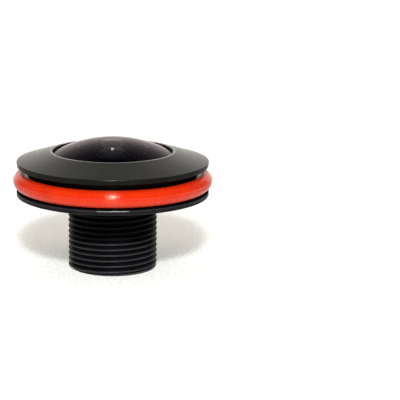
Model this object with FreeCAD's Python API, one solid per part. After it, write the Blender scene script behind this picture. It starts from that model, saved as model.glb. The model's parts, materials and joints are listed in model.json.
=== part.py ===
import FreeCAD
import Part

import math
import os

# Fisheye lens: a domed front element under a conical bezel, on a screw-in barrel.
# Millimetres. The optical axis is +Z, towards the dome, and the origin is the
# centre of the barrel's rear face, on which the lens stands.

# Mount thread along the barrel
thread_crest_radius = 7.93
thread_pitch = 1.0
thread_depth_per_pitch = 0.6134
thread_root_flat_per_pitch = 0.06
thread_crest_flat_per_pitch = 0.07
thread_bevel_height_per_pitch = 0.11
thread_bevel_depth_per_pitch = 0.055
thread_start_angle = 0.0
thread_relief_height = 0.6
thread_relief_depth = 0.1
thread_relief_margin = 0.25
thread_relief_undercut = 0.15
barrel_length = 13.2
barrel_lead_in = 0.33

# Flange below the sealing ring. Its radius sets the bezel and the front glass too.
shoulder_radius = 17.12
flange_thickness = 0.95
flange_edge_round = 0.14

# Cup that holds the front element, with the bezel's service thread on its outside
cup_floor_height = 4.2
cup_wall = 0.6
cup_wall_setback = 0.17
cup_lead_in = 0.2

# Gland and sealing ring
gland_width = 4.22
gland_depth = 2.445
sealing_ring_section = 3.0
sealing_ring_height = 0.18

# Mould ridge round the sealing ring, a little above its widest place
ridge_height = 0.1
ridge_width = 0.3
ridge_angle = 15.0
ridge_sink = 0.1

# Bezel
sleeve_wall = 1.445
sleeve_foot_gap = 0.05
rim_height = 0.92
rim_taper = 0.15
rim_edge_round = 0.14
lip_cover = 1.85
lip_width = 0.45
lip_stand = 0.55
lip_edge_round = 0.12
lip_glass_gap = 0.1
crown_glass_gap = 0.15

# Slip ring between the bezel and the front element
bezel_slip_inset = 0.8
bezel_slip_width = 0.9
bezel_slip_thickness = 0.2

# Light shield and seal, both let into the floor of the cup
shield_width = 3.5
shield_thickness = 0.1
front_seal_setback = 1.7
front_seal_land = 0.3
front_seal_section = 0.8
front_seal_groove_width = 1.0

# Clearances
element_fit = 0.03
service_thread_fit = 0.05
sealing_ring_fit = 0.025
thin_gap = 0.03
bore_relief = 0.2
sight_clearance = 0.1
overrun = 1.0
turns_below = 2

# Radii of the front group, from the flange inwards
sleeve_radius = shoulder_radius - gland_depth
sleeve_bore_radius = sleeve_radius - sleeve_wall
cup_radius = sleeve_bore_radius - service_thread_fit
cup_bore_radius = cup_radius - cup_wall
front_edge_radius = cup_bore_radius - element_fit

# Hollow under the front element, nearly half a ball
front_hollow_radius = 5.5
front_hollow_depth = 3.86
front_hollow_clear = math.sqrt(front_hollow_depth * (2 * front_hollow_radius - front_hollow_depth))

# Lens elements. A radius is positive where the centre of curvature is behind the
# surface. Clear is how far out the curved part of a face reaches, and seat is the
# flat shoulder outside it, on which the next piece bears. The thickness is given
# where the element is thinnest, at its centre or at its edge.
front_element = {
    "front_radius": 21.9,
    "rear_radius": front_hollow_radius, "rear_clear": front_hollow_clear,
    "seat": front_edge_radius - front_hollow_clear, "edge_thickness": 1.02,
}
second_element = {
    "front_radius": 18.0, "front_clear": 4.0,
    "rear_radius": 4.3, "rear_clear": 3.3,
    "seat": 1.6, "centre_thickness": 0.8,
}
third_element = {
    "front_radius": 9.0, "front_clear": 4.2,
    "rear_radius": -14.0, "rear_clear": 3.4,
    "seat": 1.0, "edge_thickness": 1.4,
}
fourth_element = {
    "front_radius": 14.0, "front_clear": 3.2,
    "rear_radius": -8.0, "rear_clear": 3.4,
    "seat": 1.0, "edge_thickness": 1.2,
}
doublet_bond_radius = -6.0
doublet_clear = 4.1
doublet_seat = 0.7
doublet_front = {
    "front_radius": 9.5, "front_clear": 3.5,
    "rear_radius": doublet_bond_radius, "rear_clear": doublet_clear,
    "seat": doublet_seat, "edge_thickness": 0.9,
}
doublet_rear = {
    "front_radius": doublet_bond_radius, "front_clear": doublet_clear,
    "rear_radius": -20.0, "rear_clear": doublet_clear,
    "seat": doublet_seat, "centre_thickness": 0.9,
}
rear_element = {
    "front_radius": 9.0, "front_clear": 4.1,
    "rear_radius": -25.0, "rear_clear": 4.2,
    "seat": 1.0, "edge_thickness": 1.2,
}

# Air between the elements on the axis, and the cement of the doublet
stop_to_fourth_air = 0.12
fourth_to_doublet_air = 0.13
doublet_to_rear_air = 0.14
cement_thickness = 0.01

# Retaining rings, spacer, stop and filter
second_retainer_height = 1.1
second_retainer_overhang = 0.55
second_retainer_bevel = 0.6
front_spacer_height = 0.7
ledge_thickness = 1.0
stop_thickness = 0.1
stop_hole_radius = 1.0
rear_slip_thickness = 0.2
rear_retainer_height = 1.9
rear_retainer_overhang = 0.7
filter_thickness = 0.3
filter_seat = 0.7
filter_recess = 0.1
spanner_slot_width = 0.9
spanner_slot_depth = 0.4

ORIGIN = FreeCAD.Vector(0, 0, 0)
AXIS = FreeCAD.Vector(0, 0, 1)
FULL_TURN = 360


# Shapes of revolution


def at(radius, height):
    """Return the point at a radius and a height in the section plane."""
    return FreeCAD.Vector(radius, 0, height)


def revolve(edges):
    """Turn a closed section about the axis."""
    face = Part.Face(Part.Wire(Part.__sortEdges__(edges)))
    solid = face.revolve(ORIGIN, AXIS, FULL_TURN)
    if solid.Volume < 0:
        solid.reverse()
    return solid


def turned(corners):
    """Turn a section of (radius, height) corners, each with an optional rounding."""
    points = [at(corner[0], corner[1]) for corner in corners]
    arcs = []
    arrivals = []
    departures = []
    for index, here in enumerate(points):
        rounding = corners[index][2] if len(corners[index]) > 2 else 0
        back = (points[index - 1] - here).normalize()
        onward = (points[(index + 1) % len(points)] - here).normalize()
        half_angle = back.getAngle(onward) / 2
        reach = rounding / math.tan(half_angle)
        arrivals.append(here + back * reach)
        departures.append(here + onward * reach)
        if rounding:
            inward = (back + onward).normalize()
            middle = here + inward * (rounding / math.sin(half_angle) - rounding)
            arcs.append(Part.Arc(arrivals[-1], middle, departures[-1]).toShape())
    lines = [
        Part.makeLine(departures[index - 1], arrivals[index])
        for index in range(len(points))
    ]
    return revolve(lines + arcs)


def ring(inner, outer, bottom, top):
    """Return a plain ring."""
    return turned([(inner, bottom), (outer, bottom), (outer, top), (inner, top)])


def disc(radius, bottom, top):
    """Return a plain disc, or the cutter of a plain bore."""
    return Part.makeCylinder(radius, top - bottom, at(0, bottom))


def torus(radius, section, height):
    """Return a ring of round section, with its middle at a height."""
    return Part.makeTorus(radius, section / 2, at(0, height), AXIS)


# Lens surfaces


def sag(radius, reach):
    """Return how far a surface falls behind its vertex at a distance from the axis."""
    return radius - math.copysign(math.sqrt(radius ** 2 - reach ** 2), radius)


def edge_radius(element):
    """Return the radius of an element's edge."""
    return max(element.get("front_clear", 0), element["rear_clear"]) + element["seat"]


def front_clear(element):
    """Return how far out the front surface reaches: to the edge if nothing says less."""
    return element.get("front_clear", edge_radius(element))


def front_sag(element):
    """Return how far the front shoulder lies behind the front vertex."""
    return sag(element["front_radius"], front_clear(element))


def rear_sag(element):
    """Return how far the rear shoulder lies behind the rear vertex."""
    return sag(element["rear_radius"], element["rear_clear"])


def centre_thickness(element):
    """Return the thickness on the axis."""
    if "centre_thickness" in element:
        return element["centre_thickness"]
    return element["edge_thickness"] + front_sag(element) - rear_sag(element)


def rear_vertex(element, vertex):
    """Return the height of the rear vertex of an element whose front vertex is given."""
    return vertex - centre_thickness(element)


def front_shoulder(element, vertex):
    """Return the height of the front shoulder."""
    return vertex - front_sag(element)


def rear_shoulder(element, vertex):
    """Return the height of the rear shoulder."""
    return rear_vertex(element, vertex) - rear_sag(element)


def surface(radius, clear, vertex):
    """Return the arc of a surface, from the axis out to its clear radius."""
    halfway = abs(radius) * math.sin(math.asin(clear / abs(radius)) / 2)
    return Part.Arc(
        at(0, vertex),
        at(halfway, vertex - sag(radius, halfway)),
        at(clear, vertex - sag(radius, clear)),
    ).toShape()


def lens(element, vertex):
    """Return the glass of an element whose front vertex is at a height."""
    rear = rear_vertex(element, vertex)
    edge = edge_radius(element)
    corners = [
        at(front_clear(element), front_shoulder(element, vertex)),
        at(edge, front_shoulder(element, vertex)),
        at(edge, rear_shoulder(element, vertex)),
        at(element["rear_clear"], rear_shoulder(element, vertex)),
    ]
    shoulders = [
        Part.makeLine(start, end)
        for start, end in zip(corners, corners[1:])
        if start.distanceToPoint(end) > 0
    ]
    centre_line = Part.makeLine(at(0, rear), at(0, vertex))
    front_arc = surface(element["front_radius"], front_clear(element), vertex)
    rear_arc = surface(element["rear_radius"], element["rear_clear"], rear)
    return revolve(shoulders + [centre_line, front_arc, rear_arc])


# Heights of the housing, from the barrel's rear face upwards
flange_top = barrel_length + flange_thickness
cup_floor = flange_top + cup_floor_height

# The front element stands on the floor of the cup
front_vertex = cup_floor + rear_sag(front_element) + centre_thickness(front_element)

# The light shield lies in the floor of the cup, clear of the retainer below it
shield_bottom = cup_floor - thin_gap - shield_thickness

# The second element hangs under its retainer, and the third stands on the ledge
second_retainer_top = shield_bottom - thin_gap
second_retainer_bottom = second_retainer_top - second_retainer_height
second_vertex = second_retainer_bottom + front_sag(second_element)
front_spacer_top = rear_shoulder(second_element, second_vertex)
front_spacer_bottom = front_spacer_top - front_spacer_height
third_vertex = front_spacer_bottom + front_sag(third_element)
ledge_top = rear_shoulder(third_element, third_vertex)

# The stop and what follows it are loaded from the rear, up to the ledge
stop_top = ledge_top - ledge_thickness
stop_bottom = stop_top - stop_thickness
fourth_vertex = stop_bottom - stop_to_fourth_air
doublet_vertex = rear_vertex(fourth_element, fourth_vertex) - fourth_to_doublet_air
doublet_rear_vertex = rear_vertex(doublet_front, doublet_vertex) - cement_thickness
rear_element_vertex = rear_vertex(doublet_rear, doublet_rear_vertex) - doublet_to_rear_air
rear_slip_top = rear_shoulder(rear_element, rear_element_vertex)
rear_retainer_top = rear_slip_top - rear_slip_thickness
rear_retainer_bottom = rear_retainer_top - rear_retainer_height

# Radii
second_retainer_radius = edge_radius(second_element) + second_retainer_overhang
rear_retainer_radius = edge_radius(rear_element) + rear_retainer_overhang
rear_sight_radius = rear_element["rear_clear"] + sight_clearance
filter_radius = rear_sight_radius + filter_seat
front_seal_radius = front_edge_radius - front_seal_setback
shield_outer_radius = front_seal_radius - front_seal_groove_width / 2 - front_seal_land
shield_inner_radius = shield_outer_radius - shield_width
lip_bore_radius = front_edge_radius - lip_cover
bezel_slip_inner_radius = lip_bore_radius + bezel_slip_inset
bezel_slip_outer_radius = bezel_slip_inner_radius + bezel_slip_width
thread_root_radius = thread_crest_radius - thread_depth_per_pitch * thread_pitch


def dome_height(radius):
    """Return the height of the front element's outer surface at a radius."""
    return front_vertex - sag(front_element["front_radius"], radius)


# Barrel housing


def thread_outline():
    """Return one pitch of the thread's outline, from crest to crest, as radii and heights."""
    half_crest = thread_pitch * thread_crest_flat_per_pitch / 2
    half_root = thread_pitch * thread_root_flat_per_pitch / 2
    bevel_height = thread_pitch * thread_bevel_height_per_pitch
    bevel_depth = thread_pitch * thread_bevel_depth_per_pitch
    rising = [
        (thread_crest_radius, half_crest),
        (thread_crest_radius - bevel_depth, half_crest + bevel_height),
        (thread_root_radius, thread_pitch / 2 - half_root),
    ]
    falling = [(radius, thread_pitch - height) for radius, height in reversed(rising)]
    return [(thread_crest_radius, -half_crest)] + rising + falling


def thread_turn():
    """Return the faces of one turn of the thread, each ruled between two helices."""
    edges = []
    for radius, height in thread_outline():
        helix = Part.makeHelix(thread_pitch, thread_pitch, radius)
        helix.translate(at(0, height))
        edges.append(helix.Edges[0])
    return [Part.makeRuledSurface(lower, upper) for lower, upper in zip(edges, edges[1:])]


def threaded_barrel():
    """Return the outside of the barrel: what lies inside the thread's surface."""
    one_turn = thread_turn()
    last_turn = math.ceil(barrel_length / thread_pitch)
    faces = [
        face.translated(at(0, turn * thread_pitch))
        for turn in range(-turns_below, last_turn + 1)
        for face in one_turn
    ]
    surface_of_thread = Part.makeCompound(faces)
    surface_of_thread.sewShape()
    surface_of_thread.rotate(ORIGIN, AXIS, thread_start_angle)
    blank = disc(thread_crest_radius + overrun, 0, barrel_length)
    pieces = blank.generalFuse([surface_of_thread])[0].Solids
    middle = at(0, barrel_length / 2)
    barrel = next(piece for piece in pieces if piece.isInside(middle, 0, False))
    lead_in_radius = thread_crest_radius - barrel_lead_in
    lead_in = Part.makeCone(lead_in_radius, lead_in_radius + barrel_length, barrel_length)
    return barrel.common(lead_in)


def housing_head():
    """Return the flange and the cup above the barrel, before they are bored."""
    cup_top = dome_height(front_edge_radius) - cup_wall_setback
    return turned([
        (0, barrel_length),
        (shoulder_radius, barrel_length, flange_edge_round),
        (shoulder_radius, flange_top, flange_edge_round),
        (cup_radius, flange_top),
        (cup_radius, cup_top - cup_lead_in),
        (cup_radius - cup_lead_in, cup_top),
        (cup_bore_radius, cup_top),
        (cup_bore_radius, cup_floor),
        (0, cup_floor),
    ])


def stack_bores():
    """Return the cutters of every bore that holds glass or a ring."""
    second_bore_seat = front_spacer_top - bore_relief
    doublet_bore_seat = front_shoulder(doublet_front, doublet_vertex) + bore_relief
    rear_bore_seat = front_shoulder(rear_element, rear_element_vertex) + bore_relief
    front_seats = [
        (second_retainer_radius + service_thread_fit, second_retainer_bottom - bore_relief),
        (edge_radius(second_element) + element_fit, second_bore_seat),
        (edge_radius(third_element) + element_fit, ledge_top),
    ]
    rear_seats = [
        (edge_radius(fourth_element) + element_fit, stop_top),
        (edge_radius(doublet_front) + element_fit, doublet_bore_seat),
        (edge_radius(rear_element) + element_fit, rear_bore_seat),
        (rear_retainer_radius + service_thread_fit, rear_slip_top + bore_relief),
    ]
    ledge_hole_radius = third_element["rear_clear"] + sight_clearance
    front_bores = [disc(radius, seat, cup_floor + overrun) for radius, seat in front_seats]
    rear_bores = [disc(radius, -overrun, seat) for radius, seat in rear_seats]
    return front_bores + rear_bores + [disc(ledge_hole_radius, stop_top, ledge_top)]


def barrel_housing():
    """Return the one-piece housing: threaded barrel, flange and cup."""
    above_floor = cup_floor + overrun
    thread_relief = ring(
        thread_root_radius - thread_relief_depth,
        thread_crest_radius + thread_relief_margin,
        barrel_length - thread_relief_height,
        barrel_length + thread_relief_undercut,
    )
    seal_groove = ring(
        front_seal_radius - front_seal_groove_width / 2,
        front_seal_radius + front_seal_groove_width / 2,
        cup_floor - front_seal_section - thin_gap,
        above_floor,
    )
    shield_recess = disc(shield_outer_radius + thin_gap, shield_bottom, above_floor)
    housing = threaded_barrel().fuse(housing_head())
    for cutter in stack_bores() + [thread_relief, seal_groove, shield_recess]:
        housing = housing.cut(cutter)
    return housing


# Front group


def front_element_seal():
    """Return the seal under the front element."""
    middle = cup_floor - (front_seal_section + thin_gap) / 2
    return torus(front_seal_radius, front_seal_section, middle)


def front_light_shield():
    """Return the black sheet that masks the floor of the cup."""
    top = shield_bottom + shield_thickness
    return ring(shield_inner_radius, shield_outer_radius, shield_bottom, top)


def slip_cone(radius, offset):
    """Return the height at a radius of a cone parallel to the glass and off it."""
    middle = (bezel_slip_inner_radius + bezel_slip_outer_radius) / 2
    lean = math.asin(middle / front_element["front_radius"])
    tangent = dome_height(middle) - (radius - middle) * math.tan(lean)
    return tangent + offset / math.cos(lean)


def bezel_slip_ring():
    """Return the conical slip ring that the bezel presses on the glass."""
    inner = bezel_slip_inner_radius
    outer = bezel_slip_outer_radius
    upper_face = thin_gap + bezel_slip_thickness
    return turned([
        (inner, slip_cone(inner, thin_gap)),
        (outer, slip_cone(outer, thin_gap)),
        (outer, slip_cone(outer, upper_face)),
        (inner, slip_cone(inner, upper_face)),
    ])


def front_bezel():
    """Return the bezel: threaded sleeve, rim, cone and lip in one turned piece."""
    sleeve_bottom = flange_top + sleeve_foot_gap
    rim_bottom = flange_top + gland_width
    rim_top = rim_bottom + rim_height
    glass_at_lip = dome_height(lip_bore_radius)
    lip_top = glass_at_lip + lip_stand
    crown_bottom = dome_height(front_edge_radius) + crown_glass_gap
    seat_inner = bezel_slip_inner_radius - thin_gap
    seat_outer = bezel_slip_outer_radius + thin_gap
    seat_offset = bezel_slip_thickness + 2 * thin_gap
    return turned([
        (sleeve_bore_radius, sleeve_bottom),
        (sleeve_radius, sleeve_bottom),
        (sleeve_radius, rim_bottom),
        (shoulder_radius - rim_taper, rim_bottom, rim_edge_round),
        (shoulder_radius, rim_top, rim_edge_round),
        (lip_bore_radius + lip_width, lip_top),
        (lip_bore_radius, lip_top, lip_edge_round),
        (lip_bore_radius, glass_at_lip + lip_glass_gap),
        (seat_inner, dome_height(seat_inner) + lip_glass_gap),
        (seat_inner, slip_cone(seat_inner, seat_offset)),
        (seat_outer, slip_cone(seat_outer, seat_offset)),
        (seat_outer, crown_bottom),
        (sleeve_bore_radius, crown_bottom),
    ])


def sealing_ring():
    """Return the large ring in the gland, with the ridge that its mould leaves."""
    section_radius = sealing_ring_section / 2
    middle_radius = sleeve_radius + sealing_ring_fit + section_radius
    middle_height = flange_top + sealing_ring_height + section_radius
    lean = math.radians(ridge_angle)
    foot = section_radius - ridge_sink
    half_spread = ridge_width / 2 / foot
    corners = [
        (foot, lean - half_spread),
        (section_radius + ridge_height, lean),
        (foot, lean + half_spread),
    ]
    ridge = turned([
        (middle_radius + reach * math.cos(angle), middle_height + reach * math.sin(angle))
        for reach, angle in corners
    ])
    return torus(middle_radius, sealing_ring_section, middle_height).fuse(ridge)


# Optical stack


def spacer(before, after, top, bottom):
    """Return the ring between two elements, clear of both curved faces."""
    inner = max(before["rear_clear"], after["front_clear"]) + sight_clearance
    outer = min(edge_radius(before), edge_radius(after))
    return ring(inner, outer, bottom, top)


def second_element_retainer():
    """Return the ring that screws down on the second element, bevelled for the view."""
    inner = second_element["front_clear"] + sight_clearance
    return turned([
        (inner, second_retainer_bottom),
        (second_retainer_radius, second_retainer_bottom),
        (second_retainer_radius, second_retainer_top),
        (inner + second_retainer_bevel, second_retainer_top),
        (inner, second_retainer_top - second_retainer_bevel),
    ])


def aperture_stop():
    """Return the fixed stop, a thin disc against the ledge."""
    return ring(stop_hole_radius, edge_radius(fourth_element), stop_bottom, stop_top)


def stop_spacer():
    """Return the ring that holds the stop off the fourth element."""
    inner = fourth_element["front_clear"] + sight_clearance
    shoulder = front_shoulder(fourth_element, fourth_vertex)
    return ring(inner, edge_radius(fourth_element), shoulder, stop_bottom)


def rear_slip_ring():
    """Return the slip ring between the rear element and its retainer."""
    return ring(rear_sight_radius, edge_radius(rear_element), rear_retainer_top, rear_slip_top)


def rear_retainer():
    """Return the rear retaining ring, with the filter's recess and two spanner slots."""
    filter_top = rear_retainer_bottom + filter_recess + filter_thickness
    recess_radius = filter_radius + element_fit
    retainer = turned([
        (recess_radius, rear_retainer_bottom),
        (rear_retainer_radius, rear_retainer_bottom),
        (rear_retainer_radius, rear_retainer_top),
        (rear_sight_radius, rear_retainer_top),
        (rear_sight_radius, filter_top),
        (recess_radius, filter_top),
    ])
    slots = Part.makeBox(
        2 * (rear_retainer_radius + overrun),
        spanner_slot_width,
        spanner_slot_depth + overrun,
        FreeCAD.Vector(
            -rear_retainer_radius - overrun,
            -spanner_slot_width / 2,
            rear_retainer_bottom - overrun,
        ),
    )
    return retainer.cut(slots)


def infrared_filter():
    """Return the filter glass, bonded in the recess of the rear retainer."""
    bottom = rear_retainer_bottom + filter_recess
    return disc(filter_radius, bottom, bottom + filter_thickness)


def make_parts():
    """Return every sub-part by its node name."""
    relay_spacer_top = rear_shoulder(fourth_element, fourth_vertex)
    relay_spacer_bottom = front_shoulder(doublet_front, doublet_vertex)
    field_spacer_top = rear_shoulder(doublet_rear, doublet_rear_vertex)
    field_spacer_bottom = front_shoulder(rear_element, rear_element_vertex)
    return {
        "barrel_housing": barrel_housing(),
        "front_bezel": front_bezel(),
        "bezel_slip_ring": bezel_slip_ring(),
        "sealing_ring": sealing_ring(),
        "front_element": lens(front_element, front_vertex),
        "front_element_seal": front_element_seal(),
        "front_light_shield": front_light_shield(),
        "second_element_retainer": second_element_retainer(),
        "second_element": lens(second_element, second_vertex),
        "front_spacer": spacer(second_element, third_element, front_spacer_top, front_spacer_bottom),
        "third_element": lens(third_element, third_vertex),
        "aperture_stop": aperture_stop(),
        "stop_spacer": stop_spacer(),
        "fourth_element": lens(fourth_element, fourth_vertex),
        "relay_spacer": spacer(fourth_element, doublet_front, relay_spacer_top, relay_spacer_bottom),
        "doublet_front_element": lens(doublet_front, doublet_vertex),
        "doublet_rear_element": lens(doublet_rear, doublet_rear_vertex),
        "field_spacer": spacer(doublet_rear, rear_element, field_spacer_top, field_spacer_bottom),
        "rear_element": lens(rear_element, rear_element_vertex),
        "rear_slip_ring": rear_slip_ring(),
        "rear_retainer": rear_retainer(),
        "infrared_filter": infrared_filter(),
    }


os.makedirs("parts", exist_ok=True)
for name, shape in make_parts().items():
    box = shape.optimalBoundingBox(False, False)
    print(
        f"{name:26s} solids {len(shape.Solids)}  volume {shape.Volume:9.3f} mm3"
        f"  radius {box.XMax:7.3f}  z {box.ZMin:7.3f} to {box.ZMax:7.3f}"
    )
    shape.exportStep(f"parts/{name}.step")
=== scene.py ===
import json
import math
import random

import bmesh
import bpy
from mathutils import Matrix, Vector


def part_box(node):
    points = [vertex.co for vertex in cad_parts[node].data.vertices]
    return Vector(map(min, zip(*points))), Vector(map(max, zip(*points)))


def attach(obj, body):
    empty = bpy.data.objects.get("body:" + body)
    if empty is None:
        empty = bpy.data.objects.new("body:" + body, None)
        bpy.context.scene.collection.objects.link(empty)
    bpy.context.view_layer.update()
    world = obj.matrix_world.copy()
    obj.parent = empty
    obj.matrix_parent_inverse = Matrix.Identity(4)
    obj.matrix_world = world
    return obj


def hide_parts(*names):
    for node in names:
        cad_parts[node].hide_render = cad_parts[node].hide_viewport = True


# The fisheye lens as it stands in the photograph, upright on its threaded barrel.
# Metres. The frame is the CAD's: +Z is the optical axis, towards the dome.

MM = 0.001

# Camera
CAMERA_ELEVATION = math.radians(13.1)
CAMERA_DISTANCE = 290 * MM
CAMERA_AIM_HEIGHT = 11 * MM
CAMERA_LENS = 145.9
CAMERA_SHIFT_X = 0.2183
CAMERA_SHIFT_Y = 0.0142
CAMERA_CLIP = (0.01, 20.0)

# Key light: a small round lamp that leaves the round shadow behind the lens, and a fainter
# and larger one in the same place, which widens its image in the gloss
KEY_ELEVATION = math.radians(36.5)
KEY_DISTANCE = 0.8
KEY_RADIUS = 0.04
KEY_POWER = 15.5
KEY_HALO_RADIUS = 0.11
KEY_HALO_POWER = 10.0
KEY_TINT = (0.97, 0.99, 1.0)

# Overhead fill, which the gloss doesn't show
FILL_HEIGHT = 0.6
FILL_SIZE = 1.6
FILL_POWER = 4.0
FILL_TINT = (1.0, 0.95, 0.87)

# Surroundings by the sine of the elevation, darker overhead and on the camera's side.
# Gloss and glass show them as a white sheet behind the lens in a dim room.
SURROUNDINGS = [(0.0, 1.0), (0.34, 0.8), (0.5, 0.5), (0.71, 0.25), (0.87, 0.06), (1.0, 0.04)]
SURROUNDINGS_TINT = (1.0, 0.965, 0.90)
FRONT_SHARE = 0.5
FRONT_EDGES = (-0.5, 0.2)
ROOM_SHARE = 0.1
SHEET_EDGES = (0.72, 0.93)

# Floor: a white ground, whose own glow is part of the white background
FLOOR_SIZE = 6.0
FLOOR_TONES = [(0.77, 0.77, 0.76), (1.0, 1.0, 0.99)]
FLOOR_GRAIN = 0.6 * MM
FLOOR_GRAIN_SPAN = (0.4, 0.6)
FLOOR_ROUGHNESS = 0.9
FLOOR_GLOSS = 0.1
FLOOR_INDEX = 1.3
FLOOR_GLOW = (1.0, 0.99, 0.91)
FLOOR_GLOW_NEAR = 0.22
FLOOR_GLOW_FAR = 0.7
FLOOR_GLOW_REACH = (0.08, 0.4)
FLOOR_SHEET_REACH = (0.02, 0.12)

# Soft rings: the height, width and angle of the ridge that the mould leaves on each, the
# slow waves in their size, and how far they keep inside the CAD model's box
SEALING_RIDGE = (0.1 * MM, 0.26 * MM, math.radians(15))
FRONT_SEAL_RIDGE = (0.01 * MM, 0.05 * MM, 0.0)
RING_STEPS = 360
RING_SECTION_STEPS = 160
RING_WAVE = 0.008 * MM
RING_WAVE_COUNTS = (2, 3, 5, 9)
RING_INSET = 0.002 * MM

# Ink on the ground faces of the front element
REAR_CLEAR_RADIUS = 5.25 * MM
INK_INSET = 0.02 * MM
INK_THICKNESS = 0.01 * MM
INK_BELOW_TOP = 0.7
INK_STEPS = 192

# The middle part of a noise's range, and of the range of two noises' sum
MIDDLE = (0.35, 0.65)
WIDE_MIDDLE = (0.3, 0.7)
SUM_MIDDLE = (0.8, 1.2)
WIDE_SUM_MIDDLE = (0.7, 1.3)

# The least whole that a part is divided by
LEAST_WHOLE = 0.001

# Anodised aluminium
CLOUD_SIZE = 4 * MM
TURNING_MARK_SIZE = 0.12 * MM
DARKER = 0.75
LIGHTER = 1.7
ANODISED_SPREAD = (-0.05, 0.07)
BARE_METAL = (0.42, 0.42, 0.44)
WEAR_SPECK_SIZE = 0.16 * MM
WEAR_SPECK_SPAN = (0.4, 0.62)
WEAR_SPECK_SHARES = (0.35, 1.0)
SOFT_EDGE_SAMPLES = 4

# Silicone and rubber
SILICONE_SHEEN = (1.0, 0.88, 0.7)
SILICONE_SPREAD = (-0.06, 0.08)
SILICONE_CLOUD_SIZE = 2.5 * MM
SKIN_SIZE = 0.25 * MM
SKIN_DEPTH = 0.004 * MM
SILICONE_DUST_SPACING = 0.9 * MM
SILICONE_DUST_SIZE = 0.06 * MM
SILICONE_DUST_DEPTH = 0.01 * MM
SILICONE_DUST_TONE = (0.85, 0.7, 0.6)
SILICONE_DUST_SHARE = 0.35
QUARTER_TURN = 0.25

# Glass
GLASS_SHEEN = (1.0, 0.91, 0.98)
GLASS_FILM_INDEX = 1.38
SMEAR_SIZE = 3 * MM
SMEAR_SPAN = (0.4, 0.7)
GLASS_DUST_SPACING = 1.3 * MM
GLASS_DUST_SIZE = 0.03 * MM
GLASS_DUST_ROUGHNESS = 0.3

# Thin sheets
SHEET_SPREAD = (-0.08, 0.1)
FLECK_DEPTH = 0.003 * MM

# Radii and heights in millimetres of the places where a finish changes
UNDER_RIM = ((0, 17.3), (0, 19.2))
LIP_TOP = ((10, 11.2), (21.0, 21.2))
RIM_EDGE = ((16.9, 17.2), (19.2, 19.3))
FLANGE_EDGE = ((16.95, 17.2), (13.84, 14.0))
# Bare metal rubbed on the front stretch of the flange's edge only, placed there to paint the key lamp's
# glint
FLANGE_WEAR_AND_GLINT = (*FLANGE_EDGE, -16.9)
FLANGE_SIDE = ((17.0, 17.2), (13.1, 14.0))
FLANGE_TOP = ((8, 17.2), (14.02, 14.2))
# Bare metal on the thread crests, kept below the flange's shadow where the key lamp reaches: rubbed
# crests, and a painted highlight on the lit ones
THREAD_CREST_WEAR_AND_GLINT = ((7.86, 8.0), (0, 6.3))
BARREL_FOOT = ((7.4, 7.75), (0, 0.4))
GLASS_HOLLOW = ((0, 5.3), (18.4, 22.4))

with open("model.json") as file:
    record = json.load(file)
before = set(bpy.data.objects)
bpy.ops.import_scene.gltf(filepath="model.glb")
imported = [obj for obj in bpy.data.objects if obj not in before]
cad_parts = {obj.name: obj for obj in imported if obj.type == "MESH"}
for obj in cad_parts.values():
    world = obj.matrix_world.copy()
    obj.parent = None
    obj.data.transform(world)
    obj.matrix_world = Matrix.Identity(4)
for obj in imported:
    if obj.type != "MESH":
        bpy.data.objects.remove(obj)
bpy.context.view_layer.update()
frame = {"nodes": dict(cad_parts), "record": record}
nodes = frame["nodes"]


# Nodes of the materials and of the surroundings


def grey(level):
    return (level, level, level)


def opaque(colour):
    """A colour with its alpha. An output that gives a colour stays as it is."""
    if isinstance(colour, bpy.types.NodeSocket):
        return colour
    return (*colour, 1)


class Nodes:
    """A node tree, with short calls for the nodes that its users share."""

    def __init__(self, tree):
        self.tree = tree

    def node(self, kind, inputs, **settings):
        """Add a node. An input is a value, or the output that it is linked to."""
        made = self.tree.nodes.new(kind)
        for setting, value in settings.items():
            setattr(made, setting, value)
        for socket, value in inputs.items():
            if isinstance(value, bpy.types.NodeSocket):
                self.tree.links.new(value, made.inputs[socket])
            else:
                made.inputs[socket].default_value = value
        return made

    def math(self, operation, first, second=0.0):
        return self.node("ShaderNodeMath", {0: first, 1: second}, operation=operation).outputs[0]

    def quotient(self, part, whole):
        """A part's share of a whole, also where the whole is nothing."""
        return self.math("DIVIDE", part, self.math("MAXIMUM", whole, LEAST_WHOLE))

    def span(self, value, low, high, new_low, new_high, **settings):
        """Carry a value from one range over to another, and stop at its ends."""
        inputs = {
            "Value": value,
            "From Min": low, "From Max": high,
            "To Min": new_low, "To Max": new_high,
        }
        return self.node("ShaderNodeMapRange", inputs, **settings).outputs[0]

    def mix(self, factor, first, second):
        """Blend two numbers. The factor is an output."""
        rest = self.math("SUBTRACT", 1.0, factor)
        return self.math(
            "ADD",
            self.math("MULTIPLY", rest, first),
            self.math("MULTIPLY", factor, second),
        )

    def blend(self, factor, first, second):
        """Blend two colours, each a value or an output."""
        inputs = {0: factor, 6: opaque(first), 7: opaque(second)}
        return self.node("ShaderNodeMix", inputs, data_type="RGBA").outputs[2]

    def rays(self):
        """Two outputs: 1 where the camera looks, and 1 where gloss or glass does."""
        kinds = self.node("ShaderNodeLightPath", {}).outputs
        mirrored = self.math("MAXIMUM", kinds["Is Glossy Ray"], kinds["Is Transmission Ray"])
        return kinds["Is Camera Ray"], mirrored


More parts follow.
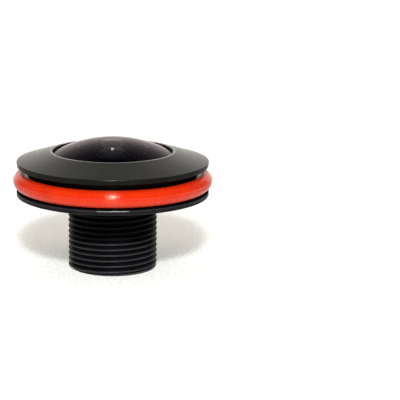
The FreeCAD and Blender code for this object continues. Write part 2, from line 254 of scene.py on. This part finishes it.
class Material(Nodes):
    """A material, whose coordinates are the frame's."""

    def __init__(self, name, **shader_values):
        self.material = bpy.data.materials.new(name)
        self.material.use_nodes = True
        super().__init__(self.material.node_tree)
        self.shader = self.tree.nodes["Principled BSDF"]
        for socket, value in shader_values.items():
            self.shader.inputs[socket.replace("_", " ")].default_value = value
        self.place = self.tree.nodes.new("ShaderNodeTexCoord").outputs["Object"]

    def set(self, socket, output):
        self.tree.links.new(output, self.shader.inputs[socket])

    def noise(self, size, detail=2.0, place=None):
        """Noise whose features are of a size in metres, about 0.5 in the middle."""
        inputs = {"Vector": place or self.place, "Scale": 1 / size, "Detail": detail}
        return self.node("ShaderNodeTexNoise", inputs).outputs["Fac"]

    def spots(self, spacing, size):
        """1 on small round spots of a size, strewn at a spacing, and 0 between them."""
        inputs = {"Vector": self.place, "Scale": 1 / spacing}
        distance = self.node("ShaderNodeTexVoronoi", inputs).outputs["Distance"]
        return self.span(distance, 0.5 * size / spacing, 0.25 * size / spacing, 0, 1)

    def coordinates(self):
        """The place's X, Y and Z in metres. Y falls towards the camera."""
        return self.node("ShaderNodeSeparateXYZ", {0: self.place}).outputs

    def radius_and_height(self):
        """The distance from the axis and the height, in metres."""
        x, y, z = self.coordinates()
        squares = self.math("ADD", self.math("MULTIPLY", x, x), self.math("MULTIPLY", y, y))
        return self.math("SQRT", squares), z

    def turned_place(self):
        """Coordinates that are the same all the way round the axis, for turning marks."""
        radius, height = self.radius_and_height()
        return self.node("ShaderNodeCombineXYZ", {0: radius, 2: height}).outputs[0]

    def zone(self, radii, heights, front=None):
        """1 between two radii and two heights in millimetres, and 0 outside them.

        Front, where it is given, keeps the zone to the places with a lower Y than that.
        """
        made = 1.0
        for value, (low, high) in zip(self.radius_and_height(), (radii, heights)):
            above = self.math("GREATER_THAN", value, low * MM)
            below = self.math("LESS_THAN", value, high * MM)
            made = self.math("MULTIPLY", self.math("MULTIPLY", above, below), made)
        if front is not None:
            y = self.coordinates()[1]
            made = self.math("MULTIPLY", self.math("LESS_THAN", y, front * MM), made)
        return made

    def bump(self, height, depth, below=None):
        """Bump by a height of 0 to 1 that stands for a depth in metres."""
        inputs = {"Height": height, "Distance": depth, "Strength": 1.0}
        if below:
            inputs["Normal"] = below
        return self.node("ShaderNodeBump", inputs).outputs[0]

    def roughen(self, unevenness, middle, roughness, spread):
        """Roughness that follows an unevenness, from the spread's low to its high."""
        smooth, rough = spread
        self.set("Roughness", self.span(unevenness, *middle, roughness + smooth, roughness + rough))


# Kinds of finish


def anodised(
    name, tone, gloss, roughness, grain_size, grain_depth, turning_depth,
    dull=(), wear_and_glints=(), rounding=0.0,
):
    """Black anodised aluminium: an etched grain over faint turning marks.

    Dull is a list of (radii, heights, gloss) where the finish shines less or more, and
    wear_and_glints a list of (radii, heights, share), or (radii, heights, front, share), of turned
    edges on which the bare metal shows in specks where it is rubbed; those kept to the front or to
    the lit heights paint the key lamp's glint. Rounding is how far the light softens the edges.
    """
    made = Material(name, Specular_IOR_Level=gloss)
    cloud = made.noise(CLOUD_SIZE, detail=4)
    grain = made.noise(grain_size, detail=3)
    marks = made.noise(TURNING_MARK_SIZE, place=made.turned_place())

    darker = tuple(DARKER * value for value in tone)
    lighter = tuple(LIGHTER * value for value in tone)
    colour = made.blend(made.span(made.math("ADD", cloud, grain), *SUM_MIDDLE, 0, 1), darker, lighter)
    # Bare metal in specks: rubbed edges, and painted glints where a patch is kept to the lit side
    if wear_and_glints:
        wear_and_glint = 0.0
        for *place, share in wear_and_glints:
            wear_and_glint = made.math("MAXIMUM", wear_and_glint, made.math("MULTIPLY", made.zone(*place), share))
        specks = made.noise(WEAR_SPECK_SIZE, detail=3)
        wear_and_glint = made.math("MULTIPLY", wear_and_glint, made.span(specks, *WEAR_SPECK_SPAN, *WEAR_SPECK_SHARES))
        colour = made.blend(wear_and_glint, colour, BARE_METAL)
        made.set("Metallic", wear_and_glint)
    made.set("Base Color", colour)

    if dull:
        shine = gloss
        for radii, heights, level in dull:
            shine = made.mix(made.zone(radii, heights), shine, level)
        made.set("Specular IOR Level", shine)

    made.roughen(made.math("ADD", grain, marks), WIDE_SUM_MIDDLE, roughness, ANODISED_SPREAD)
    soft_edge = None
    if rounding:
        rounded = made.node("ShaderNodeBevel", {"Radius": rounding}, samples=SOFT_EDGE_SAMPLES)
        soft_edge = rounded.outputs[0]
    made.set("Normal", made.bump(grain, grain_depth, made.bump(marks, turning_depth, soft_edge)))
    return made.material


def silicone(name, deep, pale, roughness, gloss, streak):
    """Moulded rubber or silicone: a soft sheen, mottled colour and a few specks of dust.

    Streak is how far the fine lines of a turned mould draw the sheen out across them.
    """
    made = Material(
        name, Specular_IOR_Level=gloss, Specular_Tint=opaque(SILICONE_SHEEN),
        Anisotropic=streak, Anisotropic_Rotation=QUARTER_TURN,
    )
    round_axis = made.node("ShaderNodeTangent", {}, direction_type="RADIAL", axis="Z")
    made.set("Tangent", round_axis.outputs[0])
    cloud = made.noise(SILICONE_CLOUD_SIZE, detail=5)
    skin = made.noise(SKIN_SIZE, detail=3)
    dust = made.spots(SILICONE_DUST_SPACING, SILICONE_DUST_SIZE)
    body = made.blend(made.span(cloud, *MIDDLE, 0, 1), deep, pale)
    dusty = made.math("MULTIPLY", dust, SILICONE_DUST_SHARE)
    made.set("Base Color", made.blend(dusty, body, SILICONE_DUST_TONE))
    made.roughen(skin, WIDE_MIDDLE, roughness, SILICONE_SPREAD)
    made.set("Normal", made.bump(skin, SKIN_DEPTH, made.bump(dust, SILICONE_DUST_DEPTH)))
    return made.material


def coated_glass(name, tint, index, film, roughness, bare=()):
    """Glass with an anti-reflection film, of a thickness in nanometres, and light dust.

    Bare is a list of (radii, heights) of the faces that carry no film.
    """
    made = Material(
        name, Base_Color=opaque(tint), Transmission_Weight=1.0, IOR=index,
        Thin_Film_Thickness=film, Thin_Film_IOR=GLASS_FILM_INDEX, Specular_Tint=opaque(GLASS_SHEEN),
    )
    for radii, heights in bare:
        covered = made.math("SUBTRACT", 1.0, made.zone(radii, heights))
        made.set("Thin Film Thickness", made.math("MULTIPLY", covered, film))
    smear = made.span(made.noise(SMEAR_SIZE, detail=3), *SMEAR_SPAN, 0, roughness)
    dust = made.spots(GLASS_DUST_SPACING, GLASS_DUST_SIZE)
    dusty = made.math("MULTIPLY", dust, GLASS_DUST_ROUGHNESS)
    made.set("Roughness", made.math("ADD", smear, dusty))
    return made.material


def thin_sheet(name, dark, light, roughness, fleck_size, gloss):
    """A thin dark sheet or plastic ring, with flecks and an uneven sheen."""
    made = Material(name, Specular_IOR_Level=gloss)
    fleck = made.noise(fleck_size, detail=4)
    made.set("Base Color", made.blend(made.span(fleck, *MIDDLE, 0, 1), dark, light))
    made.roughen(fleck, WIDE_MIDDLE, roughness, SHEET_SPREAD)
    made.set("Normal", made.bump(fleck, FLECK_DEPTH))
    return made.material


# The finish of each material slot

FINISHES = {
    "housing_anodised": anodised(
        "housing_anodised", tone=(0.003, 0.003, 0.004), gloss=0.07, roughness=0.42,
        grain_size=0.05 * MM, grain_depth=0.0008 * MM, turning_depth=0.002 * MM,
        dull=[(*FLANGE_SIDE, 0.2), (*FLANGE_TOP, 0.0)],
        # The bare metal on the flange's front edge and on the lower thread crests also paints the key
        # lamp's glint there
        wear_and_glints=[(*FLANGE_EDGE, 0.08), (*FLANGE_WEAR_AND_GLINT, 1.0), (*THREAD_CREST_WEAR_AND_GLINT, 0.09), (*BARREL_FOOT, 0.3)],
        rounding=0.15 * MM,
    ),
    "bezel_anodised": anodised(
        "bezel_anodised", tone=(0.006, 0.006, 0.005), gloss=0.7, roughness=0.24,
        grain_size=0.07 * MM, grain_depth=0.0015 * MM, turning_depth=0.0005 * MM,
        dull=[(*UNDER_RIM, 0.05), (*RIM_EDGE, 0.3)],
        wear_and_glints=[(*LIP_TOP, 0.9)],
    ),
    "retainer_anodised": anodised(
        "retainer_anodised", tone=(0.001, 0.001, 0.0013), gloss=0.03, roughness=0.35,
        grain_size=0.05 * MM, grain_depth=0.001 * MM, turning_depth=0.003 * MM,
    ),
    "spacer_anodised": anodised(
        "spacer_anodised", tone=grey(0.002), gloss=0.05, roughness=0.5,
        grain_size=0.05 * MM, grain_depth=0.002 * MM, turning_depth=0.001 * MM,
    ),
    "sealing_silicone": silicone(
        "sealing_silicone", deep=(0.59, 0.017, 0.0008), pale=(0.65, 0.025, 0.001),
        roughness=0.25, gloss=0.5, streak=1.0,
    ),
    "black_rubber": silicone(
        "black_rubber", deep=(0.010, 0.010, 0.011), pale=grey(0.018),
        roughness=0.5, gloss=0.2, streak=0.0,
    ),
    "dome_glass": coated_glass(
        "dome_glass", tint=grey(0.88), index=1.6, film=130.0, roughness=0.004, bare=[GLASS_HOLLOW],
    ),
    "inner_glass": coated_glass(
        "inner_glass", tint=grey(0.2), index=1.5, film=115.0, roughness=0.003,
    ),
    "filter_glass": coated_glass(
        "filter_glass", tint=(0.9, 1.0, 1.0), index=1.5, film=140.0, roughness=0.003,
    ),
    "black_film": thin_sheet(
        "black_film", dark=grey(0.002), light=grey(0.004), roughness=0.6, fleck_size=0.3 * MM, gloss=0.05,
    ),
    "slip_polymer": thin_sheet(
        "slip_polymer", dark=grey(0.015), light=grey(0.03), roughness=0.5, fleck_size=0.4 * MM, gloss=0.3,
    ),
    "stop_foil": thin_sheet(
        "stop_foil", dark=grey(0.006), light=grey(0.012), roughness=0.55, fleck_size=0.2 * MM, gloss=0.2,
    ),
}
INK = thin_sheet(
    "edge_ink", dark=grey(0.001), light=grey(0.002), roughness=0.7, fleck_size=0.3 * MM, gloss=0.0,
)

for subpart in frame["record"]["subparts"]:
    for slot in nodes[subpart["node"]].material_slots:
        slot.material = FINISHES[subpart["material_slot"]]


# Pieces made here


def lathe(name, profile, steps, wave=0.0, seed=0):
    """Turn a closed profile of (radius, height) points about the axis, with a slow wave in its size."""
    chance = random.Random(seed)
    phases = [(count, chance.uniform(0, 2 * math.pi)) for count in RING_WAVE_COUNTS]
    mesh = bmesh.new()
    rings = []
    for step in range(steps):
        turn = 2 * math.pi * step / steps
        swell = wave * sum(math.sin(count * turn + phase) for count, phase in phases) / len(phases)
        ring = []
        for radius, height in profile:
            reach = radius - abs(swell)
            ring.append(mesh.verts.new((reach * math.cos(turn), reach * math.sin(turn), height)))
        rings.append(ring)
    for index, here in enumerate(rings):
        onward = rings[(index + 1) % steps]
        for point in range(len(profile)):
            after = (point + 1) % len(profile)
            mesh.faces.new((here[point], onward[point], onward[after], here[after])).smooth = True
    bmesh.ops.recalc_face_normals(mesh, faces=mesh.faces)
    data = bpy.data.meshes.new(name)
    mesh.to_mesh(data)
    mesh.free()
    piece = bpy.data.objects.new(name, data)
    bpy.context.scene.collection.objects.link(piece)
    return piece


def moulded_ring(name, node, slot, body, ridge):
    """A moulded ring in a node's place, with the ridge that its mould leaves."""
    low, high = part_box(node)
    ridge_height, ridge_width, ridge_angle = ridge
    section = (high.z - low.z) / 2
    middle = high.x - RING_INSET - (section + ridge_height) * math.cos(ridge_angle)
    height = (high.z + low.z) / 2
    profile = []
    for step in range(RING_SECTION_STEPS):
        angle = 2 * math.pi * step / RING_SECTION_STEPS
        off_ridge = section
        if math.cos(angle - ridge_angle) > 0:
            off_ridge = abs(section * math.sin(angle - ridge_angle))
        reach = section + ridge_height * math.exp(-(off_ridge / (ridge_width / 2)) ** 2)
        profile.append((middle + reach * math.cos(angle), height + reach * math.sin(angle)))
    ring = lathe(name, profile, RING_STEPS, RING_WAVE, seed=len(name))
    ring.data.materials.append(FINISHES[slot])
    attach(ring, body)
    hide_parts(node)


def edge_ink():
    """The black ink on the front element's rear shoulder and edge, just inside the glass."""
    low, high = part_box("front_element")
    inner = REAR_CLEAR_RADIUS + INK_INSET
    edge = high.x - INK_INSET
    bottom = low.z + INK_INSET
    top = high.z - (high.z - low.z) * INK_BELOW_TOP - INK_INSET
    ink = lathe("front_element_ink", [
        (inner, bottom),
        (edge, bottom),
        (edge, top),
        (edge - INK_THICKNESS, top),
        (edge - INK_THICKNESS, bottom + INK_THICKNESS),
        (inner, bottom + INK_THICKNESS),
    ], INK_STEPS)
    for face in ink.data.polygons:
        face.use_smooth = False
    ink.data.materials.append(INK)
    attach(ink, "lens_body")


moulded_ring("sealing_ring_moulded", "sealing_ring", "sealing_silicone", "lens_body", SEALING_RIDGE)
moulded_ring("front_seal_moulded", "front_element_seal", "black_rubber", "lens_body", FRONT_SEAL_RIDGE)
edge_ink()


# Floor, surroundings and lights


def floor():
    """A flat sheet of pale paper with a fine grain, large enough to fill the view.

    Gloss and glass see it white near the lens and behind it, and dim elsewhere.
    """
    mesh = bpy.data.meshes.new("floor")
    half = FLOOR_SIZE / 2
    corners = [(-half, -half, 0), (half, -half, 0), (half, half, 0), (-half, half, 0)]
    mesh.from_pydata(corners, [], [(0, 1, 2, 3)])
    sheet = bpy.data.objects.new("floor", mesh)
    bpy.context.scene.collection.objects.link(sheet)

    paper = Material(
        "floor_paper", IOR=FLOOR_INDEX, Roughness=FLOOR_ROUGHNESS,
        Specular_IOR_Level=FLOOR_GLOSS, Emission_Color=opaque(FLOOR_GLOW),
    )
    camera_ray, mirrored = paper.rays()
    distance = paper.radius_and_height()[0]
    behind = paper.quotient(paper.coordinates()[1], distance)
    near_white = paper.span(distance, *FLOOR_SHEET_REACH, 1.0, ROOM_SHARE)
    rear_white = paper.span(behind, *SHEET_EDGES, ROOM_SHARE, 1.0)
    shown = paper.mix(mirrored, 1.0, paper.math("MAXIMUM", near_white, rear_white))

    grain = paper.noise(FLOOR_GRAIN, detail=4)
    white = paper.blend(paper.span(grain, *FLOOR_GRAIN_SPAN, 0, 1), *FLOOR_TONES)
    paper.set("Base Color", paper.blend(shown, grey(0), white))
    glow = paper.span(distance, *FLOOR_GLOW_REACH, FLOOR_GLOW_NEAR, FLOOR_GLOW_FAR)
    seen = paper.math("MULTIPLY", paper.math("MAXIMUM", camera_ray, mirrored), shown)
    paper.set("Emission Strength", paper.math("MULTIPLY", seen, glow))
    mesh.materials.append(paper.material)


def surroundings():
    """Light from all round by elevation, and plain white where the camera sees it."""
    world = bpy.data.worlds.new("surroundings")
    bpy.context.scene.world = world
    world.use_nodes = True
    sky = Nodes(world.node_tree)
    direction = sky.node("ShaderNodeTexCoord", {}).outputs["Generated"]
    y, z = sky.node("ShaderNodeSeparateXYZ", {0: direction}).outputs[1:]

    ramp = sky.node("ShaderNodeValToRGB", {0: z})
    elements = ramp.color_ramp.elements
    while len(elements) < len(SURROUNDINGS):
        elements.new(0.5)
    for element, (place, level) in zip(elements, SURROUNDINGS):
        element.position = place
        element.color = opaque([level * share for share in SURROUNDINGS_TINT])

    camera_ray, mirrored = sky.rays()
    cosine = sky.math("SQRT", sky.math("SUBTRACT", 1.0, sky.math("MULTIPLY", z, z)))
    behind = sky.quotient(y, cosine)
    sheet = sky.span(behind, *SHEET_EDGES, ROOM_SHARE, 1.0, interpolation_type="SMOOTHSTEP")
    soft = sky.span(y, *FRONT_EDGES, FRONT_SHARE, 1.0, interpolation_type="SMOOTHSTEP")
    strength = sky.mix(mirrored, soft, sheet)
    light = sky.node("ShaderNodeVectorMath", {0: ramp.outputs[0], "Scale": strength}, operation="SCALE")
    seen = sky.blend(camera_ray, light.outputs[0], grey(1))
    sky.tree.links.new(seen, sky.tree.nodes["Background"].inputs["Color"])


def place_lamp(name, data, location, glossy=True):
    lamp = bpy.data.objects.new(name, data)
    lamp.location = location
    lamp.visible_glossy = glossy
    bpy.context.scene.collection.objects.link(lamp)


def lights():
    """A small key light with its halo, from the front, and a wide fill from above."""
    toward_key = Vector((0, -math.cos(KEY_ELEVATION), math.sin(KEY_ELEVATION)))
    for name, radius, power in (
        ("key", KEY_RADIUS, KEY_POWER),
        ("key_halo", KEY_HALO_RADIUS, KEY_HALO_POWER),
    ):
        key = bpy.data.lights.new(name, "POINT")
        key.shadow_soft_size = radius
        key.energy = power
        key.color = KEY_TINT
        place_lamp(name, key, KEY_DISTANCE * toward_key)
    fill = bpy.data.lights.new("fill", "AREA")
    fill.size = FILL_SIZE
    fill.energy = FILL_POWER
    fill.color = FILL_TINT
    place_lamp("fill", fill, (0, 0, FILL_HEIGHT), glossy=False)


def camera():
    """The photograph's view, from a little above the lens, which stands left of the middle."""
    data = bpy.data.cameras.new("camera")
    data.lens = CAMERA_LENS
    data.shift_x = CAMERA_SHIFT_X
    data.shift_y = CAMERA_SHIFT_Y
    data.clip_start, data.clip_end = CAMERA_CLIP
    seat = bpy.data.objects.new("camera", data)
    away = Vector((0, -math.cos(CAMERA_ELEVATION), math.sin(CAMERA_ELEVATION)))
    seat.location = Vector((0, 0, CAMERA_AIM_HEIGHT)) + CAMERA_DISTANCE * away
    seat.rotation_euler = away.to_track_quat("Z", "Y").to_euler()
    bpy.context.scene.collection.objects.link(seat)
    bpy.context.scene.camera = seat


floor()
surroundings()
lights()
camera()
bpy.context.scene.view_settings.view_transform = "Standard"
